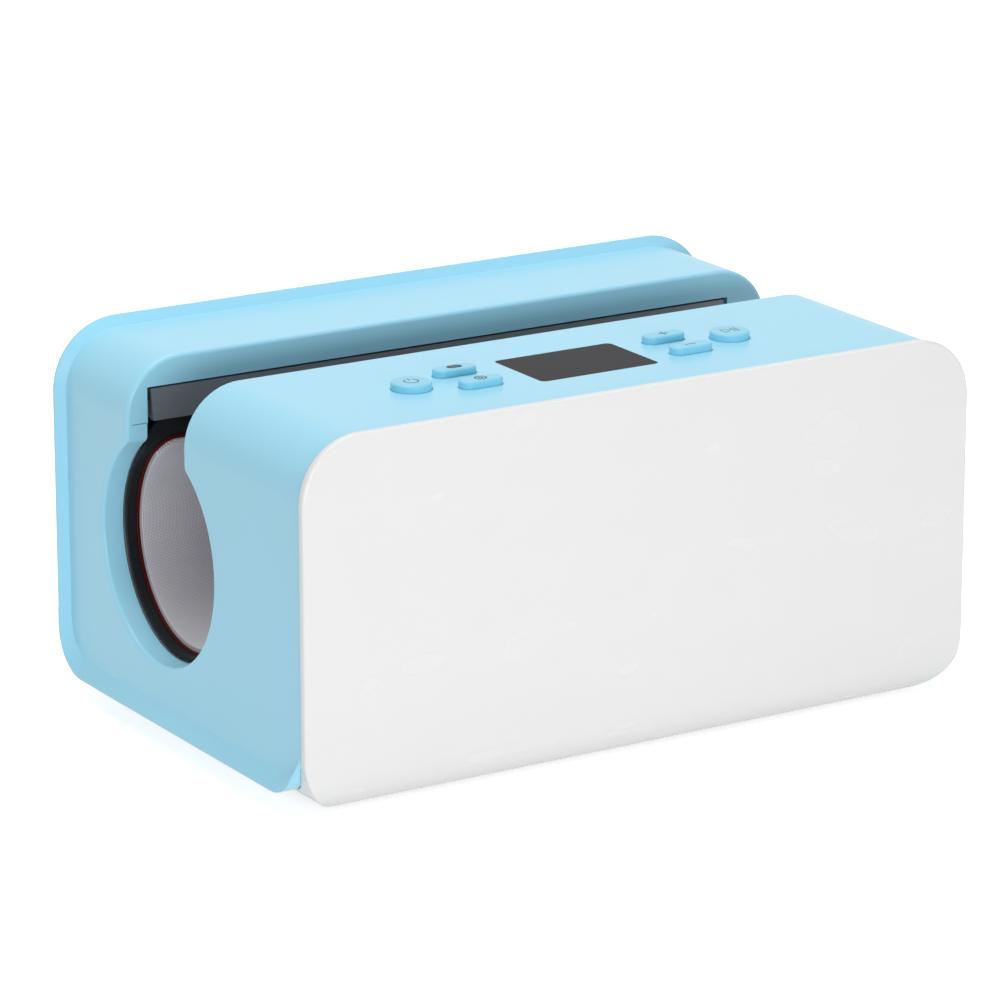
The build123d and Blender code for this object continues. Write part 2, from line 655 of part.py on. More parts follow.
def rear_cover_screws():
    screws = []
    for x, start, z in rear_screw_places():
        seat = REAR_Y - SOFT_GAP - SCREW_HEAD
        head = rod_y(x, seat, seat + SCREW_HEAD, z, SCREW_HEAD_RADIUS)
        screws.append(head + rod_y(x, start + SOFT_GAP, seat + 0.5, z, SCREW_RADIUS))
    return screws


def mouth_sleeves():
    top = WALL_BOTTOM - SOFT_GAP
    outer = keyhole(MOUTH_RADIUS + SLEEVE_WALL, HALF_SLOT + SLEEVE_WALL, top)
    inner = keyhole(MOUTH_RADIUS, HALF_SLOT, top + 1)
    below = Pos(TUNNEL_Y, top - FAR / 2) * Rectangle(FAR, FAR)
    ring = (outer - inner) & below
    start = SLEEVE_INNER_X
    end = HALF_LENGTH - SHELL_WALL
    return [along_x(ring, -end, -start), along_x(ring, start, end)]


# Heating mat

def mat_path(depth, top):
    # One surface of the mat, depth measured inwards from the middle of the backing
    middle = MAT_OUTER_RADIUS - BACKING_THICKNESS / 2
    reach = HEM_OFFSET + HEM_BEND
    height = math.sqrt((middle + HEM_BEND) ** 2 - reach ** 2)
    radius = middle - depth
    bend = HEM_BEND + depth
    top_height = top - TUNNEL_Z
    below = min(max(height - top_height, 0) / bend, 1)
    start = math.pi + math.asin(below)
    end = math.pi + math.atan2(height, reach)

    def on_bend(side, angle):
        return (side * (reach + bend * math.cos(angle)), height + bend * math.sin(angle))

    rear, front = [[on_bend(side, angle) for angle in (start, (start + end) / 2, end)] for side in (1, -1)]
    path = [
        ThreePointArc(*rear),
        ThreePointArc(rear[2], (0, -radius), front[2]),
        ThreePointArc(*reversed(front)),
    ]
    if top_height > height:
        path.insert(0, Line((rear[0][0], top_height), rear[0]))
        path.append(Line(front[0], (front[0][0], top_height)))
    return path


def mat_layer(outer_depth, inner_depth, top, x0, x1):
    outer = mat_path(outer_depth, top)
    inner = mat_path(inner_depth, top)
    rear_end = Line(outer[0] @ 0, inner[0] @ 0)
    front_end = Line(outer[-1] @ 1, inner[-1] @ 1)
    face = make_face(outer + inner + [rear_end, front_end])
    return along_x(Pos(TUNNEL_Y, TUNNEL_Z) * face, x0, x1)


def hem_bead_top():
    return BAR_TOP - 2 * WINDOW_GAP - SOFT_GAP * 2


def mat_backing():
    half = BACKING_THICKNESS / 2
    top = hem_bead_top()
    sheet = mat_layer(-half, half, top, MAT_LEFT, MAT_RIGHT)
    beads = []
    for side in (1, -1):
        near = HEM_OFFSET - half
        beads.append(side_block(side, MAT_LEFT, MAT_RIGHT, near, near + BEAD_WIDTH, top - BEAD_HEIGHT, top))
    return sheet.fuse(*beads)


def mat_edge_layer():
    start = BACKING_THICKNESS / 2
    x0 = MAT_LEFT + BACKING_BORDER
    x1 = MAT_RIGHT - BACKING_BORDER
    return mat_layer(start, start + EDGE_THICKNESS, layer_top(0), x0, x1)


def layer_top(step):
    # The inner layers stop below the bars
    return BAR_BOTTOM - 2 * BACKING_BORDER - step


def mat_pad():
    start = BACKING_THICKNESS / 2 + EDGE_THICKNESS
    x0 = MAT_LEFT + BACKING_BORDER + RED_BORDER
    x1 = MAT_RIGHT - BACKING_BORDER - RED_BORDER
    return mat_layer(start, start + PAD_THICKNESS, layer_top(RED_BORDER), x0, x1)


# Clamp bars and their drives

def clamp_bar(side):
    points = [
        (BAR_FACE_BOTTOM, BAR_BOTTOM),
        (BAR_BACK, BAR_BOTTOM),
        (BAR_BACK, BAR_TOP),
        (BAR_FACE_TOP, BAR_TOP),
    ]
    bar = along_x(polygon([(side_y(side, offset), z) for offset, z in points]), BAR_LEFT, BAR_RIGHT)
    near = HEM_OFFSET - BACKING_THICKNESS / 2 - SOFT_GAP
    groove_end = HEM_OFFSET + BACKING_THICKNESS / 2 + SOFT_GAP
    pocket_end = near + BEAD_WIDTH + 2 * SOFT_GAP
    top = hem_bead_top()
    pocket_bottom = top - BEAD_HEIGHT - SOFT_GAP
    bar = bar - side_block(side, -FAR, FAR, near, groove_end, BAR_BOTTOM - 1, pocket_bottom + 1)
    return bar - side_block(side, -FAR, FAR, near, pocket_end, pocket_bottom, top + SOFT_GAP)


def rod_places():
    return [BAR_MIDDLE - ROD_SPREAD / 2, BAR_MIDDLE + ROD_SPREAD / 2]


def guide_rods(side):
    return [side_rod(side, x, BAR_BACK, BAR_BACK + ROD_LENGTH, DRIVE_Z, ROD_RADIUS) for x in rod_places()]


def guide_bushings():
    bushings = []
    for side in (1, -1):
        for x in rod_places():
            start = BAR_BACK + BUSHING_START
            end = start + BUSHING_LENGTH
            half = BUSHING_WIDTH / 2
            holder = side_block(side, x - half, x + half, start, end, SHELF_TOP, 2 * DRIVE_Z - SHELF_TOP)
            bushings.append(holder - side_rod(side, x, start - 1, end + 1, DRIVE_Z, ROD_RADIUS + ROD_FIT))
    return bushings


def drive_nut(side):
    x = BAR_MIDDLE
    tube = side_rod(side, x, BAR_BACK, NUT_END, DRIVE_Z, NUT_TUBE_RADIUS)
    tube = tube - side_rod(side, x, BAR_BACK - 1, NUT_START, DRIVE_Z, SCREW_DRIVE_RADIUS + NUT_TUBE_GAP)
    return tube - side_rod(side, x, NUT_START - 1, NUT_END + 1, DRIVE_Z, SCREW_DRIVE_RADIUS + DRIVE_FIT)


def drive_screw(side):
    x = BAR_MIDDLE
    start = BAR_BACK + RUN_CLEARANCE
    screw = side_rod(side, x, start, GEARBOX_START - DRIVE_FIT, DRIVE_Z, SCREW_DRIVE_RADIUS)
    end = GEARBOX_START + SCREW_SHAFT_LENGTH
    return screw + side_rod(side, x, GEARBOX_START - 1, end, DRIVE_Z, SCREW_SHAFT_RADIUS)


def gearmotor(side):
    x = BAR_MIDDLE
    end = GEARBOX_START + GEARBOX_LENGTH
    half = GEARBOX_WIDTH / 2
    tall = GEARBOX_HEIGHT / 2
    box = side_block(side, x - half, x + half, GEARBOX_START, end, DRIVE_Z - tall, DRIVE_Z + tall)
    can = side_rod(side, x, end - 1, end + MOTOR_LENGTH, DRIVE_Z, half)
    can = can & side_block(
        side, x - half, x + half, GEARBOX_START, end + FAR / 10, DRIVE_Z - tall, DRIVE_Z + tall
    )
    bore_end = GEARBOX_START + SCREW_SHAFT_LENGTH + SOFT_GAP
    bore = side_rod(side, x, GEARBOX_START - 1, bore_end, DRIVE_Z, SCREW_SHAFT_RADIUS + DRIVE_FIT)
    return box + can - bore


def drive_bracket(side):
    spread = BRACKET_LEG_SPREAD / 2
    half = BRACKET_LEG_WIDTH / 2
    left = BAR_MIDDLE - ROD_SPREAD / 2 - BUSHING_WIDTH
    right = BAR_MIDDLE + ROD_SPREAD / 2 + BUSHING_WIDTH
    shelf = side_block(side, left, right, BAR_BACK + SHELF_START, SHELF_END, SHELF_BOTTOM, SHELF_TOP)
    legs = []
    for x in (BAR_MIDDLE - spread, BAR_MIDDLE + spread):
        web_end = BRACKET_WEB_OFFSET + BRACKET_SHEET
        web = side_block(side, x - half, x + half, BRACKET_WEB_OFFSET, web_end, CHASSIS_TOP, SHELF_TOP)
        toe_end = BRACKET_WEB_OFFSET - BRACKET_TOE
        top = CHASSIS_TOP + BRACKET_SHEET
        toe = side_block(side, x - half, x + half, toe_end, web_end, CHASSIS_TOP, top)
        legs.append(web + toe)
    return shelf.fuse(*legs)


# Heat shield and supports

def open_top():
    return block(-FAR, FAR, TUNNEL_Y - WRAP_OPENING, TUNNEL_Y + WRAP_OPENING, TUNNEL_Z, FAR)


def wrap_ring(inner, outer, x0, x1):
    ring = rod_x(x0, x1, TUNNEL_Y, TUNNEL_Z, outer) - rod_x(x0 - 1, x1 + 1, TUNNEL_Y, TUNNEL_Z, inner)
    return ring - open_top()


def heat_shield():
    end = SLEEVE_INNER_X - SHIELD_END_GAP
    return wrap_ring(SHIELD_INNER, SHIELD_OUTER, -end, end)


def cutout_window(gap, z0, z1):
    half_x = CUTOUT_LENGTH / 2 + gap
    half_y = CUTOUT_WIDTH / 2 + gap
    return block(CUTOUT_X - half_x, CUTOUT_X + half_x, TUNNEL_Y - half_y, TUNNEL_Y + half_y, z0, z1)


def insulation():
    end = SLEEVE_INNER_X - INSULATION_END
    wrap = wrap_ring(SHIELD_OUTER, WRAP_OUTER, -end, end)
    return wrap - cutout_window(CUTOUT_GAP, 0, TUNNEL_Z)


def thermal_cutout():
    top = TUNNEL_Z - SHIELD_OUTER - PILOT_FIT
    return cutout_window(0, top - CUTOUT_HEIGHT, top)


def cradle(x):
    half = CRADLE_THICKNESS / 2
    plate = block(
        x - half, x + half, TUNNEL_Y - CRADLE_HALF_WIDTH, TUNNEL_Y + CRADLE_HALF_WIDTH,
        CHASSIS_TOP, CRADLE_TOP,
    )
    toe = block(
        x - half, x + CRADLE_TOE, TUNNEL_Y - CRADLE_HALF_WIDTH, TUNNEL_Y + CRADLE_HALF_WIDTH,
        CHASSIS_TOP, CHASSIS_TOP + CRADLE_THICKNESS,
    )
    return plate + toe - rod_x(x - FAR / 10, x + FAR / 10, TUNNEL_Y, TUNNEL_Z, WRAP_OUTER + CRADLE_FIT)


def cradles():
    return [cradle(BAR_MIDDLE + step * CRADLE_OFFSET) for step in (-1, 0, 1)]


def chassis_plate():
    x = CHASSIS_LENGTH / 2
    y = CHASSIS_DEPTH / 2
    plate = block(-x, x, -y, y, CHASSIS_BOTTOM, CHASSIS_TOP)
    for px, py in pad_places():
        plate = plate - post(px, py, 0, FAR, SCREW_RADIUS + HOLE_FIT)
    return plate


def chassis_screws():
    screws = []
    for x, y in pad_places():
        head = post(x, y, CHASSIS_TOP, CHASSIS_TOP + SCREW_HEAD, SCREW_HEAD_RADIUS)
        screws.append(head + post(x, y, TRAY_FLOOR + SOFT_GAP, CHASSIS_TOP + 1, SCREW_RADIUS))
    return screws


# Controls

def button(name):
    top = DECK_HEIGHT + BUTTON_RISE
    cap = button_form(name, 0, FLANGE_BOTTOM, top)
    cap = fillet(cap.faces().sort_by(Axis.Z)[-1].edges(), BUTTON_ROUNDING)
    flange = button_form(name, FLANGE_WIDTH, FLANGE_BOTTOM, CEILING)
    x, y = button_places()[name]
    return cap + flange + post(x, y, STEM_BOTTOM, FLANGE_BOTTOM + 0.5, STEM_RADIUS)


def display_window():
    return display_form(
        DISPLAY_LENGTH, DISPLAY_DEPTH, DISPLAY_CORNER, DECK_HEIGHT - DISPLAY_GLASS, DECK_HEIGHT
    )


def display_module():
    margin = DISPLAY_LEDGE + MODULE_GAP
    return display_form(
        DISPLAY_LENGTH - 2 * margin, DISPLAY_DEPTH - 2 * margin, DISPLAY_CORNER,
        BOARD_TOP, DECK_HEIGHT - DISPLAY_GLASS - MODULE_GAP,
    )


def control_board():
    x = BOARD_LENGTH / 2
    y = BOARD_DEPTH / 2
    board = block(
        CONTROLS_X - x, CONTROLS_X + x, CONTROLS_Y - y, CONTROLS_Y + y, BOARD_BOTTOM, BOARD_TOP
    )
    for px, py in board_posts():
        board = board - post(px, py, BOARD_BOTTOM - 1, BOARD_TOP + 1, BOARD_SCREW_RADIUS + HOLE_FIT)
    return board


def tact_switches():
    switches = []
    half = TACT_SIZE / 2
    for x, y in button_places().values():
        body = block(x - half, x + half, y - half, y + half, BOARD_TOP, BOARD_TOP + TACT_HEIGHT)
        switches.append(body + post(x, y, BOARD_TOP + 1, TACT_TOP, TACT_TIP_RADIUS))
    return switches


def control_board_screws():
    screws = []
    for x, y in board_posts():
        head = post(x, y, BOARD_BOTTOM - BOARD_SCREW_HEAD, BOARD_BOTTOM, BOARD_SCREW_HEAD_RADIUS)
        end = BOARD_TOP + BOARD_SCREW_BITE - SOFT_GAP
        screws.append(head + post(x, y, BOARD_BOTTOM - 0.5, end, BOARD_SCREW_RADIUS))
    return screws


# Power electronics

def power_board():
    x1 = POWER_LEFT + POWER_LENGTH
    return block(POWER_LEFT, x1, POWER_FRONT, POWER_FRONT + POWER_DEPTH, POWER_BOTTOM, POWER_TOP)


def board_standoffs():
    xs = (POWER_LEFT + STANDOFF_EDGE, POWER_LEFT + POWER_LENGTH - STANDOFF_EDGE)
    ys = (POWER_FRONT + STANDOFF_EDGE, POWER_FRONT + POWER_DEPTH - STANDOFF_EDGE)
    return [post(x, y, CHASSIS_TOP, POWER_BOTTOM, STANDOFF_RADIUS) for x in xs for y in ys]


def board_part(size, place):
    x = POWER_LEFT + place
    y = POWER_FRONT + POWER_DEPTH / 2
    return block(
        x - size[0] / 2, x + size[0] / 2, y - size[1] / 2, y + size[1] / 2, POWER_TOP, POWER_TOP + size[2]
    )


def transformer():
    body = board_part(TRANSFORMER, TRANSFORMER_X)
    return fillet(body.edges().filter_by(Axis.Z), TRANSFORMER_ROUNDING)


def relay():
    return board_part(RELAY, RELAY_X)


def capacitors():
    y = POWER_FRONT + POWER_DEPTH / 2
    top = POWER_TOP + CAPACITOR_HEIGHT
    places = [POWER_LEFT + CAPACITOR_X + index * CAPACITOR_PITCH for index in range(3)]
    return [post(x, y, POWER_TOP, top, CAPACITOR_RADIUS) for x in places]


def inlet_cavity_floor():
    return REAR_Y - INLET_DEPTH + INLET_FLOOR


def power_inlet():
    outer = REAR_Y - INLET_GAP
    x = INLET_WIDTH / 2
    z = INLET_HEIGHT / 2
    body = block(INLET_X - x, INLET_X + x, REAR_Y - INLET_DEPTH, outer, INLET_Z - z, INLET_Z + z)
    wide = INLET_FLANGE_WIDTH / 2
    tall = INLET_FLANGE_HEIGHT / 2
    start = REAR_Y - INLET_FLANGE - INLET_GAP
    flange = block(INLET_X - wide, INLET_X + wide, start, outer, INLET_Z - tall, INLET_Z + tall)
    x = x - INLET_WALL
    z = z - INLET_WALL
    cavity = block(INLET_X - x, INLET_X + x, inlet_cavity_floor(), REAR_Y + 1, INLET_Z - z, INLET_Z + z)
    return body + flange - cavity


def inlet_pins():
    floor = inlet_cavity_floor()
    pins = []
    for step in (-1, 0, 1):
        x = INLET_X + step * PIN_PITCH
        z = INLET_Z + (PIN_RISE if step == 0 else -PIN_RISE)
        pins.append(block(
            x - PIN_WIDTH / 2, x + PIN_WIDTH / 2, floor, floor + PIN_LENGTH,
            z - PIN_HEIGHT / 2, z + PIN_HEIGHT / 2,
        ))
    return pins


# Assembly

def pieces():
    parts = {
        "upper_shell": upper_shell(),
        "rear_cover": rear_cover(),
        "front_cover": front_cover(),
        "base_tray": base_tray(),
        "feet": feet(),
        "base_screws": base_screws(),
        "rear_cover_screws": rear_cover_screws(),
        "mouth_sleeves": mouth_sleeves(),
        "mat_backing": mat_backing(),
        "mat_edge_layer": mat_edge_layer(),
        "mat_pad": mat_pad(),
        "rear_clamp_bar": clamp_bar(1),
        "front_clamp_bar": clamp_bar(-1),
        "rear_guide_rods": guide_rods(1),
        "front_guide_rods": guide_rods(-1),
        "guide_bushings": guide_bushings(),
        "rear_drive_nut": drive_nut(1),
        "front_drive_nut": drive_nut(-1),
        "rear_drive_screw": drive_screw(1),
        "front_drive_screw": drive_screw(-1),
        "rear_gearmotor": gearmotor(1),
        "front_gearmotor": gearmotor(-1),
        "rear_drive_bracket": drive_bracket(1),
        "front_drive_bracket": drive_bracket(-1),
        "heat_shield": heat_shield(),
        "insulation": insulation(),
        "thermal_cutout": thermal_cutout(),
        "cradles": cradles(),
        "chassis_plate": chassis_plate(),
        "chassis_screws": chassis_screws(),
        "display_window": display_window(),
        "display_module": display_module(),
        "control_board": control_board(),
        "control_board_screws": control_board_screws(),
        "tact_switches": tact_switches(),
        "power_board": power_board(),
        "board_standoffs": board_standoffs(),
        "transformer": transformer(),
        "relay": relay(),
        "capacitors": capacitors(),
        "power_inlet": power_inlet(),
        "inlet_pins": inlet_pins(),
    }
    for name in button_places():
        parts[name] = button(name)
    return parts


os.makedirs("parts", exist_ok=True)
for node, shape in pieces().items():
    solids = shape if isinstance(shape, list) else [shape]
    export_step(Compound(children=[Part(solid.wrapped) for solid in solids]), "parts/" + node + ".step")
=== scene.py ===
import math

import bpy
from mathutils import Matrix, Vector


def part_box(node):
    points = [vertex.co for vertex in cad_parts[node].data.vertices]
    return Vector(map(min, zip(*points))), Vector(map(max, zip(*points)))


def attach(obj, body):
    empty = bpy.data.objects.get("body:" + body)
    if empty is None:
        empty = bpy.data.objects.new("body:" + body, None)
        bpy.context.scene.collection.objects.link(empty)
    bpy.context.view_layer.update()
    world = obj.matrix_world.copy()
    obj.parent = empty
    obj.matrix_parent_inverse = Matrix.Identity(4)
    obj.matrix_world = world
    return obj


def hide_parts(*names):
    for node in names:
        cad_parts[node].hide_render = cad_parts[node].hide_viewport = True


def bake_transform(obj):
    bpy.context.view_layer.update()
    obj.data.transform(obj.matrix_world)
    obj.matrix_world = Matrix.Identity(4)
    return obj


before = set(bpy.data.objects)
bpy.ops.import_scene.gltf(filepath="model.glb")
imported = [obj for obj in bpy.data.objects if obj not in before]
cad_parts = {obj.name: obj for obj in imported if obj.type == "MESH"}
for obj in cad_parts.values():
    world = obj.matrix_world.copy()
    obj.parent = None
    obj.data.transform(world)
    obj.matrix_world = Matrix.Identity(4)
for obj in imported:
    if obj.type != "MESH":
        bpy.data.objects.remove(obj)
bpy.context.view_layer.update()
MM = 0.001


# Camera
# A long lens from the front left corner, a little above the deck, as the press was photographed.

azimuth, elevation, distance = math.radians(-31.829), math.radians(16.419), 2.158386
aim = Vector((-0.006587, 0, 0.08625))
back = Vector((
    math.sin(azimuth) * math.cos(elevation), -math.cos(azimuth) * math.cos(elevation), math.sin(elevation),
))
lens = bpy.data.cameras.new("camera")
lens.sensor_width, lens.lens = 36, 184.98
camera = bpy.data.objects.new("camera", lens)
camera.location = aim + back * distance
camera.rotation_mode = "QUATERNION"
camera.rotation_quaternion = (-back).to_track_quat("-Z", "Y")
bpy.context.scene.collection.objects.link(camera)
bpy.context.scene.camera = camera
bpy.context.scene.view_settings.view_transform = "Standard"


# Studio
# A wide pale floor, a plain soft sky and two large soft lamps at the level at which colours come out as written.

class Strand:
    """A socket in a node tree, which Python expressions carry on from."""

    def __init__(self, socket):
        self.socket = socket

    def node(self, kind, settings=None, inputs=None, output=0):
        """Adds a node of that kind to the same tree and returns one of its outputs."""
        made = self.socket.id_data.nodes.new(kind)
        for name, value in (settings or {}).items():
            setattr(made, name, value)
        for name, value in (inputs or {}).items():
            put(made.inputs[name], value)
        return Strand(made.outputs[output])

    def maths(self, operation, *values):
        return self.node("ShaderNodeMath", {"operation": operation}, dict(enumerate(values)))

    def noise(self, scale, detail, **more):
        """A cloudy pattern, in the piece's own box unless a vector is given."""
        inputs = {"Scale": scale, "Detail": detail, **more}
        return self.node("ShaderNodeTexNoise", None, inputs)

    def __add__(self, other):
        return self.maths("ADD", self, other)

    def __radd__(self, other):
        return self.maths("ADD", other, self)

    def __sub__(self, other):
        return self.maths("SUBTRACT", self, other)

    def __mul__(self, other):
        return self.maths("MULTIPLY", self, other)

    def blended(self, low, high):
        """The first colour where this is 0 and the second where it is 1."""
        colours = {0: self, 6: low, 7: high}
        return self.node("ShaderNodeMix", {"data_type": "RGBA"}, colours, 2)


def put(socket, value):
    """Links a strand to a socket, or sets the socket's own value."""
    if isinstance(value, Strand):
        socket.id_data.links.new(value.socket, socket)
    elif socket.type == "RGBA" and len(value) == 3:
        socket.default_value = (*value, 1)
    else:
        socket.default_value = value


def finish(name, wet=None):
    """A new material: itself, its shader node, and the piece's own coordinates, where its other nodes start."""
    material = bpy.data.materials.new(name)
    material.use_nodes = True
    tree = material.node_tree
    shader = next(n for n in tree.nodes if n.type == "BSDF_PRINCIPLED")
    for socket, value in (wet or {}).items():
        put(shader.inputs[socket], value)
    place = Strand(tree.nodes.new("ShaderNodeTexCoord").outputs["Object"])
    return material, shader, place


def seen_or_mirrored(place):
    """One for what the camera sees, straight, in gloss or through glass, and zero for light on the piece."""
    path = place.node("ShaderNodeLightPath").socket.node
    seen = Strand(path.outputs["Is Camera Ray"])
    mirrored = seen.maths("MAXIMUM", seen, Strand(path.outputs["Is Glossy Ray"]))
    return seen.maths("MAXIMUM", mirrored, Strand(path.outputs["Is Transmission Ray"]))


floor_half, floor_glow, sky_level = 12, 0.66, 0.38
floor_mesh = bpy.data.meshes.new("floor")
floor_mesh.from_pydata(
    [(x * floor_half, y * floor_half, 0) for x, y in ((-1, -1), (1, -1), (1, 1), (-1, 1))], [], [(0, 1, 2, 3)],
)
floor = bpy.data.objects.new("floor", floor_mesh)
bpy.context.scene.collection.objects.link(floor)
floor_paint, floor_shader, place = finish("floor_paint", {"Roughness": 0.9, "Specular IOR Level": 0.0})
put(floor_shader.inputs["Base Color"], (0.88, 0.88, 0.88))
glow = place.node("ShaderNodeEmission", None, {"Color": (1, 1, 1), "Strength": floor_glow})
both = place.node("ShaderNodeAddShader", None, {0: Strand(floor_shader.outputs[0]), 1: glow})
shown = place.node(
    "ShaderNodeMixShader", None, {0: seen_or_mirrored(place), 1: Strand(floor_shader.outputs[0]), 2: both},
)
put(floor_paint.node_tree.nodes["Material Output"].inputs["Surface"], shown)
floor_mesh.materials.append(floor_paint)

sky = bpy.data.worlds.new("sky")
bpy.context.scene.world = sky
sky.use_nodes = True
sky_light = sky.node_tree.nodes["Background"]
sky_start = Strand(sky.node_tree.nodes.new("ShaderNodeTexCoord").outputs["Generated"])
sky_seen = seen_or_mirrored(sky_start)
put(sky_light.inputs["Color"], (1, 1, 1))
put(sky_light.inputs["Strength"], sky_level + sky_seen * (1 - sky_level))


def lamp(name, place, target, width, height, power):
    """A soft lamp that faces a point."""
    light = bpy.data.lights.new(name, "AREA")
    light.shape, light.size, light.size_y, light.energy = "RECTANGLE", width, height, power
    holder = bpy.data.objects.new(name, light)
    holder.location = place
    holder.rotation_mode = "QUATERNION"
    holder.rotation_quaternion = (Vector(target) - Vector(place)).to_track_quat("-Z", "Y")
    bpy.context.scene.collection.objects.link(holder)


lamp("overhead_softbox", (-0.1, 0.3, 1.7), (0, 0.02, 0.1), 1.3, 1.3, 16.0)
lamp("front_softbox", (-0.5, -1.9, 0.28), (0, 0, 0.09), 1.3, 0.45, 15.0)


# Base tray
# One white ABS moulding with a satin surface. It closes the housing from below and carries the chassis on six bosses.

def dress(material, *nodes):
    """Gives CAD nodes this finish in place of the plain one."""
    for node in nodes:
        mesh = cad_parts[node].data
        mesh.materials.clear()
        mesh.materials.append(material)


def relief(shader, height, strength, distance):
    """Feeds a fine relief into a shader's normal."""
    settings = {"Strength": strength, "Distance": distance, "Height": height}
    put(shader.inputs["Normal"], height.node("ShaderNodeBump", None, settings))


def satin_moulding(name, colour, roughness, grain):
    """Injection moulded plastic with a faint cloud in its tone, and the tool's spark finish unless grain is 0."""
    material, shader, place = finish(name, {"IOR": 1.5, "Specular IOR Level": 0.36})
    cloud = place.noise(7.0, 1.0, Roughness=0.4)
    deep = tuple(part * 0.985 for part in colour)
    pale = tuple(min(1.0, part * 1.010) for part in colour)
    put(shader.inputs["Base Color"], cloud.blended(deep, pale))
    satin = roughness - 0.03 + cloud * 0.05
    if grain:
        grains = place.noise(1400.0, 1.0, Roughness=0.5)
        relief(shader, grains, grain, 0.00004)
        satin = satin + grains * 0.01
    put(shader.inputs["Roughness"], satin)
    return material


white_abs = satin_moulding("white_abs", (0.88, 0.88, 0.885), 0.27, 0.0)
dress(white_abs, "base_tray")


# Feet
# Four soft grey rubber discs, pressed into place over the front base screws and beside the rear ones. Each has
# moulded grip rings on its underside.

foot_height, foot_radius = 1.5 * MM, 8.0 * MM
foot_places = [(x * MM, y * MM, 0) for x in (-125.1, 125.1) for y in (-72.5, 72.5)]
grey_rubber, rubber_shader, place = finish("grey_rubber", {"IOR": 1.5, "Specular IOR Level": 0.35})
dust = place.noise(260.0, 5.0, Roughness=0.65)
put(rubber_shader.inputs["Base Color"], dust.blended((0.035, 0.036, 0.038), (0.085, 0.086, 0.09)))
put(rubber_shader.inputs["Roughness"], 0.62 + dust * 0.25)
pores = place.noise(1800.0, 2.0)
relief(rubber_shader, pores, 0.3, 0.00008)


def geometry_tree(name, inputs):
    """A geometry tree with a geometry input, the named inputs, and one geometry output."""
    tree = bpy.data.node_groups.new(name, "GeometryNodeTree")
    tree.interface.new_socket("Points", in_out="INPUT", socket_type="NodeSocketGeometry")
    for socket, kind in inputs.items():
        tree.interface.new_socket(socket, in_out="INPUT", socket_type="NodeSocket" + kind)
    tree.interface.new_socket("Mesh", in_out="OUTPUT", socket_type="NodeSocketGeometry")
    start = tree.nodes.new("NodeGroupInput")
    end = tree.nodes.new("NodeGroupOutput")
    return tree, {s.name: Strand(s) for s in start.outputs if s.name}, end.inputs["Mesh"]


def cylinder(start, sides, radius, length):
    sizes = {"Vertices": sides, "Radius": radius, "Depth": length}
    return start.node("GeometryNodeMeshCylinder", {"fill_type": "NGON"}, sizes)


def raised(shape, height, **more):
    """A shape moved up by that height."""
    up = shape.node("ShaderNodeCombineXYZ", None, {"Z": height})
    return shape.node("GeometryNodeTransform", None, {"Geometry": shape, "Translation": up, **more})


def on_points(start, shape, material, outward=None):
    """A shape on every point, turned outward where a direction is given, as a real mesh in one material."""
    places = {"Points": start, "Instance": shape}
    if outward:
        places["Rotation"] = start.node("FunctionNodeAlignRotationToVector", {"axis": "Z"}, {"Vector": outward})
    placed = start.node("GeometryNodeInstanceOnPoints", None, places)
    real = start.node("GeometryNodeRealizeInstances", None, {"Geometry": placed})
    return start.node("GeometryNodeSetMaterial", None, {"Geometry": real, "Material": material})


def built(name, tree, points, values, edges=()):
    """Runs a geometry tree on points or lines and returns its result as a plain mesh object."""
    mesh = bpy.data.meshes.new(name)
    mesh.from_pydata(points, edges, [])
    carrier = bpy.data.objects.new(name + "_points", mesh)
    bpy.context.scene.collection.objects.link(carrier)
    modifier = carrier.modifiers.new("tree", "NODES")
    modifier.node_group = tree
    for item in tree.interface.items_tree:
        if item.in_out == "INPUT" and item.name in values:
            modifier[item.identifier] = values[item.name]
    bpy.context.view_layer.update()
    evaluated = carrier.evaluated_get(bpy.context.evaluated_depsgraph_get())
    plain = bpy.data.meshes.new_from_object(evaluated)
    bpy.data.objects.remove(carrier)
    piece = bpy.data.objects.new(name, plain)
    bpy.context.scene.collection.objects.link(piece)
    return piece


tree, given, mesh_out = geometry_tree(
    "ringed_foot", {"Radius": "Float", "Height": "Float", "Ring Spacing": "Float", "Rubber": "Material"},
)
ring_depth = 0.15 * MM
start = given["Points"]
disc = cylinder(start, 64, given["Radius"], given["Height"] - ring_depth)
disc = raised(disc, given["Height"] * 0.5 + ring_depth * 0.5)
rings = []
for step in (1, 2, 3):
    line = start.node(
        "GeometryNodeCurvePrimitiveCircle", None, {"Resolution": 48, "Radius": given["Ring Spacing"] * step},
    )
    section = start.node("GeometryNodeCurvePrimitiveCircle", None, {"Resolution": 8, "Radius": ring_depth * 1.6})
    ring = start.node("GeometryNodeCurveToMesh", None, {"Curve": line, "Profile Curve": section})
    rings.append(raised(ring, ring_depth * 1.6))
joined = start.node("GeometryNodeJoinGeometry", None, {"Geometry": disc})
for ring in rings:
    put(joined.socket.node.inputs["Geometry"], ring)
put(mesh_out, on_points(start, joined, given["Rubber"]))
feet = built("feet_discs", tree, foot_places, {
    "Radius": foot_radius, "Height": foot_height, "Ring Spacing": 2.0 * MM, "Rubber": grey_rubber,
})
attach(feet, "housing")
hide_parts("feet")


# Screws
# Zinc plated steel pan heads with a cross recess. They hold the tray to the shell's columns, the chassis to the
# tray, the rear cover to the rear columns and the control board to its posts.

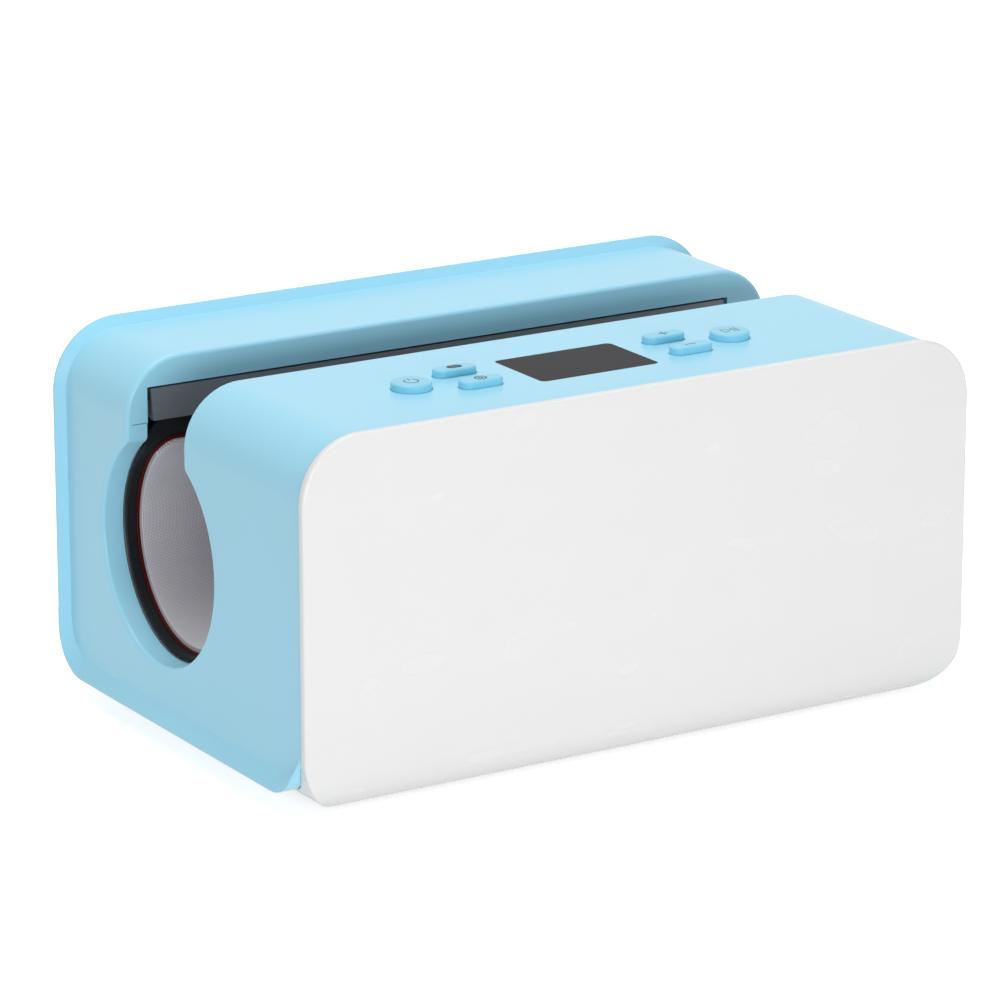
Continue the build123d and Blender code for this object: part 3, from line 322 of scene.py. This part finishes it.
def worn_metal(name, colour, roughness, along, pitch=2200.0, tarnish=0.12):
    """Bare or plated metal with fine tool marks across one axis and a slight uneven tarnish."""
    material, shader, place = finish(name, {"Metallic": 1.0})
    stretch = [pitch, pitch, pitch]
    stretch["XYZ".index(along)] = pitch * 0.02
    drawn = place.node("ShaderNodeMapping", None, {"Vector": place, "Scale": stretch})
    marks = place.noise(1.0, 2.0, Vector=drawn)
    stain = place.noise(55.0, 4.0, Roughness=0.6)
    dull = tuple(part * (1 - tarnish * 2) for part in colour)
    put(shader.inputs["Base Color"], stain.blended(dull, colour))
    put(shader.inputs["Roughness"], roughness - 0.06 + marks * 0.12 + stain * 0.06)
    relief(shader, marks, 0.25, 0.00003)
    return material


screw_steel = worn_metal("screw_steel", (0.60, 0.61, 0.62), 0.34, "Z")
tree, given, mesh_out = geometry_tree("cross_head_screw", {
    "Head Radius": "Float", "Head Height": "Float", "Shank Radius": "Float", "Shank Length": "Float",
    "Outward": "Vector", "Steel": "Material",
})
start = given["Points"]
head = raised(cylinder(start, 32, given["Head Radius"], given["Head Height"]), given["Head Height"] * 0.5)
long_side, short_side = given["Head Radius"] * 1.1, given["Head Radius"] * 0.22
for across, along in ((long_side, short_side), (short_side, long_side)):
    size = start.node("ShaderNodeCombineXYZ", None, {"X": across, "Y": along, "Z": given["Head Height"]})
    slot_tool = raised(start.node("GeometryNodeMeshCube", None, {"Size": size}), given["Head Height"])
    head = start.node(
        "GeometryNodeMeshBoolean", {"operation": "DIFFERENCE"}, {"Mesh 1": head, "Mesh 2": slot_tool},
    )
shank = raised(cylinder(start, 24, given["Shank Radius"], given["Shank Length"]), given["Shank Length"] * -0.5)
joined = start.node("GeometryNodeJoinGeometry", None, {"Geometry": head})
put(joined.socket.node.inputs["Geometry"], shank)
put(mesh_out, on_points(start, joined, given["Steel"], given["Outward"]))
screw_tree = tree


def solid_boxes(node):
    """The lowest and highest corner of each separate solid of a CAD node."""
    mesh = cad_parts[node].data
    owner = {}

    def top(index):
        while owner.setdefault(index, index) != index:
            index = owner[index]
        return index

    spots = {}
    for vertex in mesh.vertices:
        spots.setdefault(tuple(round(c, 6) for c in vertex.co), []).append(vertex.index)
    for twins in spots.values():
        for other in twins[1:]:
            owner[top(other)] = top(twins[0])
    for edge in mesh.edges:
        owner[top(edge.vertices[0])] = top(edge.vertices[1])
    groups = {}
    for vertex in mesh.vertices:
        groups.setdefault(top(vertex.index), []).append(vertex.co)
    found = []
    for points in groups.values():
        low = Vector([min(p[axis] for p in points) for axis in range(3)])
        high = Vector([max(p[axis] for p in points) for axis in range(3)])
        found.append((low, high))
    return sorted(found, key=lambda pair: tuple(pair[0]))


def screws(node, outward, head_radius, head_height, shank_radius):
    """Replaces a CAD node's plain screws with cross headed ones on the same seats."""
    outward = Vector(outward)
    axis = max(range(3), key=lambda a: abs(outward[a]))
    seats, length = [], 0
    for low, high in solid_boxes(node):
        seat = (low + high) / 2
        span = high[axis] - low[axis]
        length = span - head_height
        seat[axis] = high[axis] - head_height if outward[axis] > 0 else low[axis] + head_height
        seats.append(tuple(seat))
    piece = built(node + "_crossed", screw_tree, seats, {
        "Head Radius": head_radius, "Head Height": head_height, "Shank Radius": shank_radius,
        "Shank Length": length, "Outward": outward, "Steel": screw_steel,
    })
    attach(piece, "housing")
    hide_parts(node)


for node, outward in (("base_screws", (0, 0, -1)), ("chassis_screws", (0, 0, 1)), ("rear_cover_screws", (0, 1, 0))):
    screws(node, outward, 3.0 * MM, 2.3 * MM, 1.45 * MM)
screws("control_board_screws", (0, 0, -1), 2.0 * MM, 1.4 * MM, 1.0 * MM)


# Chassis, drive brackets and heat shield
# Zinc plated sheet, 1.5 mm for the plate and the bent brackets and 1 mm for the rolled shield round the tunnel.

sheet_steel = worn_metal("sheet_steel", (0.66, 0.67, 0.68), 0.36, "X", 900.0, 0.16)
dress(sheet_steel, "chassis_plate", "front_drive_bracket", "rear_drive_bracket", "heat_shield")


# Cradles, insulation and thermal cutout
# Dark glass filled nylon cradles hold the tunnel; a ceramic fibre blanket is wrapped round the shield between them,
# with a window for the ceramic cutout that is clipped to the shield's underside.

cradle_nylon = satin_moulding("cradle_nylon", (0.022, 0.023, 0.025), 0.5, 0.3)
dress(cradle_nylon, "cradles")
wool, wool_shader, place = finish("ceramic_wool", {"Roughness": 0.95, "Specular IOR Level": 0.2})
strands = place.noise(420.0, 6.0, Roughness=0.7, Distortion=1.6)
put(wool_shader.inputs["Base Color"], strands.blended((0.62, 0.59, 0.52), (0.86, 0.84, 0.79)))
relief(wool_shader, strands, 0.9, 0.0006)
dress(wool, "insulation")
ceramic = satin_moulding("cutout_ceramic", (0.80, 0.78, 0.72), 0.45, 0.4)
dress(ceramic, "thermal_cutout")


# Clamp bars
# Extruded aluminium, anodised dark grey, with a fine brushed grain along the bar. Each grips one hem of the mat.

anodised, anodised_shader, place = finish("dark_anodised", {"Metallic": 0.4, "Coat Weight": 0.1})
drawn = place.node("ShaderNodeMapping", None, {"Vector": place, "Scale": (18.0, 3200.0, 3200.0)})
hairs = place.noise(1.0, 3.0, Vector=drawn)
bloom = place.noise(30.0, 3.0)
put(anodised_shader.inputs["Base Color"], bloom.blended((0.145, 0.158, 0.172), (0.20, 0.215, 0.235)))
put(anodised_shader.inputs["Roughness"], 0.36 + hairs * 0.16)
relief(anodised_shader, hairs, 0.2, 0.00003)
dress(anodised, "rear_clamp_bar", "front_clamp_bar")


# Guide rods and bushings
# Ground steel rods pressed into the backs of the bars; off-white acetal blocks on the brackets guide them.

rod_steel = worn_metal("ground_steel", (0.70, 0.71, 0.72), 0.22, "Y")
dress(rod_steel, "rear_guide_rods", "front_guide_rods")
acetal = satin_moulding("acetal", (0.78, 0.77, 0.72), 0.42, 0.2)
dress(acetal, "guide_bushings")


# Drives
# A small gearmotor turns a four start steel screw inside a bronze nut tube on the back of each bar.

bronze = worn_metal("bronze", (0.66, 0.43, 0.20), 0.32, "Y", 2600.0, 0.1)
dress(bronze, "rear_drive_nut", "front_drive_nut")
motor_steel = worn_metal("motor_can", (0.68, 0.68, 0.68), 0.30, "Y", 1200.0, 0.08)
dress(motor_steel, "rear_gearmotor", "front_gearmotor")
tree, given, mesh_out = geometry_tree("four_start_screw", {
    "Core Radius": "Float", "Ridge Radius": "Float", "Length": "Float", "Lead": "Float",
    "Shaft Radius": "Float", "Shaft Length": "Float", "Outward": "Vector", "Steel": "Material",
})
start = given["Points"]
core = raised(cylinder(start, 32, given["Core Radius"], given["Length"]), given["Length"] * 0.5)
shaft = raised(cylinder(start, 24, given["Shaft Radius"], given["Shaft Length"]), given["Shaft Length"] * -0.5)
joined = start.node("GeometryNodeJoinGeometry", None, {"Geometry": core})
put(joined.socket.node.inputs["Geometry"], shaft)
ridge_height = given["Length"] - given["Ridge Radius"] * 2
turns = start.maths("DIVIDE", ridge_height, given["Lead"])
for quarter in range(4):
    helix = start.node("GeometryNodeCurveSpiral", None, {
        "Resolution": 40, "Rotations": turns, "Start Radius": given["Core Radius"],
        "End Radius": given["Core Radius"], "Height": ridge_height,
    })
    section = start.node("GeometryNodeCurvePrimitiveCircle", None, {"Resolution": 6, "Radius": given["Ridge Radius"]})
    ridge = start.node(
        "GeometryNodeCurveToMesh", None, {"Curve": helix, "Profile Curve": section, "Fill Caps": True},
    )
    ridge = raised(ridge, given["Ridge Radius"], Rotation=(0, 0, quarter * math.pi / 2))
    put(joined.socket.node.inputs["Geometry"], ridge)
put(mesh_out, on_points(start, joined, given["Steel"], given["Outward"]))
for side, node, body in ((1, "rear_drive_screw", "rear_screw"), (-1, "front_drive_screw", "front_screw")):
    low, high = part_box(node)
    middle = (low + high) / 2
    shaft_length = 6.0 * MM
    shoulder = high.y - shaft_length if side > 0 else low.y + shaft_length
    piece = built(node + "_threaded", tree, [(middle.x, shoulder, middle.z)], {
        "Core Radius": 2.2 * MM, "Ridge Radius": 0.28 * MM, "Length": high.y - low.y - shaft_length,
        "Lead": 8.0 * MM, "Shaft Radius": 1.5 * MM, "Shaft Length": shaft_length,
        "Outward": Vector((0, -side, 0)), "Steel": rod_steel,
    })
    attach(piece, body)
    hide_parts(node)


# Power electronics
# A green lacquered board on nylon standoffs, with a taped transformer, a sealed relay and three sleeved capacitors.

lacquer, lacquer_shader, place = finish("board_lacquer", {"Coat Weight": 0.4, "Coat Roughness": 0.15})
cells = place.node("ShaderNodeTexBrick", {"offset": 0.5}, {
    "Color1": (0, 0, 0), "Color2": (0.3, 0.3, 0.3), "Mortar": (1, 1, 1), "Scale": 160.0, "Mortar Size": 0.03,
})
tracks = cells.node("ShaderNodeSeparateColor", None, {"Color": cells})
put(lacquer_shader.inputs["Base Color"], tracks.blended((0.012, 0.10, 0.04), (0.03, 0.19, 0.075)))
put(lacquer_shader.inputs["Roughness"], 0.34 + tracks * 0.1)
relief(lacquer_shader, tracks, 0.3, 0.00005)
dress(lacquer, "power_board", "control_board")
dress(satin_moulding("natural_nylon", (0.78, 0.78, 0.72), 0.4, 0.2), "board_standoffs")
dress(satin_moulding("yellow_tape", (0.72, 0.50, 0.04), 0.38, 0.25), "transformer")
dress(satin_moulding("relay_case", (0.02, 0.07, 0.30), 0.25, 0.1), "relay")
dress(satin_moulding("capacitor_sleeve", (0.015, 0.015, 0.02), 0.22, 0.1), "capacitors")


# Power inlet
# A black moulded three pin inlet, clipped into the rear cover, with plated brass pins.

dress(satin_moulding("inlet_moulding", (0.014, 0.014, 0.015), 0.42, 0.35), "power_inlet")
dress(worn_metal("plated_brass", (0.72, 0.70, 0.62), 0.24, "Y"), "inlet_pins")


# Upper shell, mouth sleeves and rear cover
# Light blue ABS mouldings with a satin surface. The shell is one piece with its slot walls; a sleeve lines each
# mouth of the tunnel, and the rear cover's lip stands out all round.

blue_abs = satin_moulding("blue_abs", (0.385, 0.785, 0.975), 0.29, 0.03)
dress(blue_abs, "upper_shell", "mouth_sleeves", "rear_cover")


# Heating mat
# Black silicone sheet, a thin dark red sheet and a cloth faced heater pad, bonded in that order. The mat is bent
# into a C inside the shield, and its two hems sit in the clamp bars; here each layer is two halves, not attached to
# the bars.

tunnel_y, tunnel_z = 20.5 * MM, 82.2 * MM
mat_middle, hem_offset, hem_bend = 46.2 * MM, 26.9 * MM, 12.0 * MM
reach = hem_offset + hem_bend
bend_height = math.sqrt((mat_middle + hem_bend) ** 2 - reach ** 2)
bend_angle = math.atan2(bend_height, reach)
round_length = mat_middle * (math.pi / 2 + bend_angle)
bend_length = hem_bend * bend_angle


def mat_point(side, along, depth):
    """A point of the mat as (y, z): along from the bottom of the tunnel, and depth inwards from its middle."""
    if along <= round_length:
        angle = along / mat_middle - math.pi / 2
        radius = mat_middle - depth
        y, z = radius * math.cos(angle), radius * math.sin(angle)
    elif along <= round_length + bend_length:
        angle = math.pi + bend_angle - (along - round_length) / hem_bend
        radius = hem_bend + depth
        y, z = reach + radius * math.cos(angle), bend_height + radius * math.sin(angle)
    else:
        y, z = hem_offset - depth, bend_height + along - round_length - bend_length
    return tunnel_y + side * y, tunnel_z + z


def steps(low, high, count):
    return [low + (high - low) * index / (count - 1) for index in range(count)]


def edge_steps(low, high, count, fine):
    """Even steps, with a few more close to both ends for a rounded edge."""
    inner = steps(low + fine[-1], high - fine[-1], count)
    return [low + f for f in fine[:-1]] + inner + [high - f for f in reversed(fine[:-1])]


columns, rows_round, rows_hem, rows_corner = 96, 64, 12, 16


def mat_half(name, side, layer, material):
    """One half of a layer of the mat, from the bottom of the tunnel to its hem, as a closed shell."""
    outer, inner, x0, x1, end, turn, corner, soft = layer
    fine = [0.0, 0.1 * soft, 0.35 * soft, 0.7 * soft, soft] if soft else [0.0, 0.0001]
    rows = steps(0, turn - corner, rows_round) + steps(turn, end, rows_hem) + [end - f for f in fine]
    quarter = [index / rows_corner * math.pi / 2 for index in range(1, rows_corner + 1)]
    rows += [turn - corner + corner * math.sin(angle) for angle in quarter]
    rows = sorted(set(round(r, 9) for r in rows))
    vertices, uvs = [], []

    def fall(distance):
        """How much of its full thickness the layer has at that distance from its edge."""
        if not soft:
            return 1.0
        share = min(max(distance / soft, 0.0), 1.0)
        return math.sqrt(max(0.0, 1 - (1 - share) ** 2))

    for along in rows:
        into = min(corner, max(0.0, corner - (turn - along)))
        shrink = corner - math.sqrt(max(corner ** 2 - into ** 2, 0.0))
        left, right = x0 + shrink, x1 - shrink
        for x in edge_steps(left, right, columns, fine):
            across = min(x - x0, x1 - x)
            up = end - along
            if across < corner and up < corner:
                gap = corner - math.hypot(corner - across, corner - up)
            else:
                gap = min(across, up)
            depth = outer + (inner - outer) * (0.25 + 0.75 * fall(gap))
            vertices.append((x, depth, along))
            uvs.append((x, side * along))
    width = columns + 2 * (len(fine) - 1)
    total = len(vertices)
    places = [(x, *mat_point(side, along, depth)) for x, depth, along in vertices]
    places += [(x, *mat_point(side, along, outer)) for x, depth, along in vertices]
    faces = []
    for row in range(len(rows) - 1):
        for column in range(width - 1):
            a = row * width + column
            quad = (a, a + 1, a + 1 + width, a + width)
            faces.append(quad if side > 0 else quad[::-1])
            under = tuple(total + v for v in quad)
            faces.append(under[::-1] if side > 0 else under)
    rim = list(range(width))
    rim += [r * width + width - 1 for r in range(1, len(rows))]
    rim += [(len(rows) - 1) * width + c for c in range(width - 2, -1, -1)]
    rim += [r * width for r in range(len(rows) - 2, 0, -1)]
    for index, a in enumerate(rim):
        b = rim[(index + 1) % len(rim)]
        quad = (b, a, total + a, total + b)
        faces.append(quad if side > 0 else quad[::-1])
    mesh = bpy.data.meshes.new(name)
    mesh.from_pydata(places, [], faces)
    sheet_map = mesh.uv_layers.new(name="lay")
    for loop in mesh.loops:
        sheet_map.data[loop.index].uv = uvs[loop.vertex_index % total]
    mesh.materials.append(material)
    for face in mesh.polygons:
        face.use_smooth = True
    mesh.set_sharp_from_angle(angle=math.radians(50))
    piece = bpy.data.objects.new(name, mesh)
    bpy.context.scene.collection.objects.link(piece)
    return piece


black_sheet, black_shader, place = finish("black_silicone", {"IOR": 1.43, "Specular IOR Level": 0.15})
lint = place.noise(900.0, 4.0, Roughness=0.7)
haze = place.noise(40.0, 3.0)
put(black_shader.inputs["Base Color"], haze.blended((0.009, 0.010, 0.012), (0.016, 0.018, 0.021)))
put(black_shader.inputs["Roughness"], 0.42 + lint * 0.18)
relief(black_shader, lint, 0.15, 0.00005)
red_sheet, red_shader, place = finish("red_silicone", {"IOR": 1.43, "Specular IOR Level": 0.15})
haze = place.noise(300.0, 3.0)
put(red_shader.inputs["Base Color"], haze.blended((0.05, 0.002, 0.0035), (0.085, 0.0035, 0.0055)))
put(red_shader.inputs["Roughness"], 0.45 + haze * 0.1)

heat_cloth, cloth_shader, place = finish("heater_cloth", {
    "Sheen Weight": 0.25, "Sheen Roughness": 0.4, "Specular IOR Level": 0.35,
})
lay = place.node("ShaderNodeUVMap", {"uv_map": "lay"})
axes = place.node("ShaderNodeSeparateXYZ", None, {"Vector": lay})
along_x, along_mat = axes, Strand(axes.socket.node.outputs["Y"])
thread = 1.35 * MM
turn = 2 * math.pi / thread
warp = along_x.maths("SINE", (along_x + along_mat) * turn)
weft = along_x.maths("SINE", (along_x - along_mat) * turn)
cross = (warp * weft) * 0.5 + 0.5
fibre = place.noise(1500.0, 3.0, Roughness=0.6)
tone = place.noise(22.0, 2.0)
threads = cross * 0.85 + fibre * 0.15
woven = threads.blended((0.27, 0.25, 0.28), (1.0, 0.97, 1.0))
put(cloth_shader.inputs["Base Color"], tone.node(
    "ShaderNodeMix", {"data_type": "RGBA", "blend_type": "MULTIPLY"},
    {0: 0.5, 6: woven, 7: tone.blended((0.82, 0.82, 0.84), (1, 1, 1))}, 2,
))
put(cloth_shader.inputs["Roughness"], 0.72 + threads * 0.12)
relief(cloth_shader, threads, 0.5, 0.00015)

half_sheet, hem_top = 1.0 * MM, 141.9 * MM
full_length = round_length + bend_length
hem_rise = hem_top - tunnel_z - bend_height


def layer_end(top):
    """How far along the middle line a layer reaches when its end is at that height."""
    below = bend_height - (top - tunnel_z)
    if below <= 0:
        return full_length - below
    return full_length - hem_bend * math.asin(min(below / hem_bend, 1))


# Each layer: outer and inner face from the backing's middle, left and right edge, where it ends and where its
# corners turn along the mat, the corner's radius, and the width of its softened edge.
layers = {
    "mat_backing": (
        -half_sheet, half_sheet, -148.5 * MM, 137.0 * MM, full_length + hem_rise, layer_end(131.0 * MM), 10 * MM, 0,
    ),
    "mat_edge_layer": (
        half_sheet, 1.8 * MM, -144.5 * MM, 133.0 * MM, *[layer_end(123.0 * MM)] * 2, 9.0 * MM, 0.3 * MM,
    ),
    "mat_pad": (
        1.8 * MM, 3.8 * MM, -143.2 * MM, 131.7 * MM, *[layer_end(121.7 * MM)] * 2, 7.7 * MM, 0.6 * MM,
    ),
}
finishes = {"mat_backing": black_sheet, "mat_edge_layer": red_sheet, "mat_pad": heat_cloth}
for node, layer in layers.items():
    for side, half, body in ((1, "rear", "rear_bar"), (-1, "front", "front_bar")):
        piece = mat_half(node + "_" + half, side, layer, finishes[node])
        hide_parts(node)
        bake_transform(piece)
        if node == "mat_pad":
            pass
        else:
            layer[3] - layer[2]


# Front cover
# One white ABS moulding that wraps the front and the lower front edge, and plugs into the shell on a short tongue.

dress(white_abs, "front_cover")


# Controls
# A green board under the deck with six black tact switches and the display's carrier. The window is tinted
# polycarbonate, flush with the deck.

dress(satin_moulding("switch_moulding", (0.015, 0.015, 0.016), 0.4, 0.2), "tact_switches")
dress(satin_moulding("carrier_moulding", (0.02, 0.02, 0.022), 0.55, 0.3), "display_module")
tinted, tinted_shader, place = finish("tinted_window", {"IOR": 1.45, "Specular IOR Level": 0.015})
smear = place.noise(60.0, 4.0, Distortion=0.6)
put(tinted_shader.inputs["Base Color"], smear.blended((0.026, 0.0245, 0.028), (0.034, 0.032, 0.036)))
put(tinted_shader.inputs["Roughness"], 0.16 + smear * 0.08)
dress(tinted, "display_window")


# Buttons
# Six light blue caps with rounded top edges, a little deeper in colour than the deck. Each carries a pad printed
# grey sign: on and off, programme, settings, more, less, and start or pause.

button_abs = satin_moulding("button_abs", (0.27, 0.68, 0.88), 0.3, 0.06)
button_nodes = ["power_button", "preset_button", "settings_button", "plus_button", "minus_button", "start_button"]
dress(button_abs, *button_nodes)
print_ink, ink_shader, place = finish("grey_ink", {"Specular IOR Level": 0.3})
speck = place.noise(3000.0, 2.0)
put(ink_shader.inputs["Base Color"], speck.blended((0.055, 0.085, 0.105), (0.09, 0.125, 0.15)))
put(ink_shader.inputs["Roughness"], 0.5 + speck * 0.1)


def arc(radius, start, end, count=40, centre=(0, 0)):
    return [
        (centre[0] + radius * math.cos(math.radians(a)), centre[1] + radius * math.sin(math.radians(a)))
        for a in steps(start, end, count)
    ]


def stadium(length, width):
    half, radius = (length - width) / 2, width / 2
    right = [(half + x, y) for x, y in arc(radius, -90, 90, 20)]
    left = [(-half + x, y) for x, y in arc(radius, 90, 270, 20)]
    return right + left + [right[0]]


def petals(radius, depth, count):
    points = []
    for angle in steps(0, 360, 121):
        reach = radius + depth * math.cos(math.radians(angle * count))
        points.append((reach * math.cos(math.radians(angle)), reach * math.sin(math.radians(angle))))
    return points


signs = {
    "power_button": [arc(2.9, 125, 415), [(0, 0.9), (0, 3.6)]],
    "preset_button": [stadium(6.4 - step, 3.4 - step) for step in (0, 0.8, 1.6, 2.4)],
    "settings_button": [petals(2.3, 0.36, 8), arc(0.9, 0, 360, 24)],
    "plus_button": [[(-2.4, 0), (2.4, 0)], [(0, -2.4), (0, 2.4)]],
    "minus_button": [[(-2.6, 0), (2.6, 0)]],
    "start_button": [
        [(-3.5, -2.5), (0.5, 0), (-3.5, 2.5), (-3.5, -2.5)], [(1.7, -2.5), (1.7, 2.5)], [(3.4, -2.5), (3.4, 2.5)],
    ],
}
tree, given, mesh_out = geometry_tree("printed_line", {"Line Width": "Float", "Ink": "Material"})
start = given["Points"]
line = start.node("GeometryNodeMeshToCurve", None, {"Mesh": start})
section = start.node(
    "GeometryNodeCurvePrimitiveQuadrilateral", {"mode": "RECTANGLE"},
    {"Width": given["Line Width"], "Height": 0.06 * MM},
)
stroke = start.node("GeometryNodeCurveToMesh", None, {"Curve": line, "Profile Curve": section, "Fill Caps": True})
real = start.node("GeometryNodeRealizeInstances", None, {"Geometry": stroke})
put(mesh_out, start.node("GeometryNodeSetMaterial", None, {"Geometry": real, "Material": given["Ink"]}))


def printed(name, strokes, width, centre, height):
    """Flat ink lines on a face that points up, as one mesh."""
    points, edges = [], []
    for stroke_line in strokes:
        first = len(points)
        for x, y in stroke_line:
            points.append((centre[0] + x * MM, centre[1] + y * MM, height))
        closed = math.dist(stroke_line[0], stroke_line[-1]) < 0.01
        if closed:
            points.pop()
        count = len(points) - first
        edges += [(first + i, first + i + 1) for i in range(count - 1)]
        if closed:
            edges.append((first + count - 1, first))
    return built(name, tree, points, {"Line Width": width, "Ink": print_ink}, edges)


for node, strokes in signs.items():
    low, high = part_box(node)
    centre = (low + high) / 2
    piece = printed(node + "_sign", strokes, 0.5 * MM, (centre.x, centre.y), high.z + 0.02 * MM)
    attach(piece, node + "_cap")
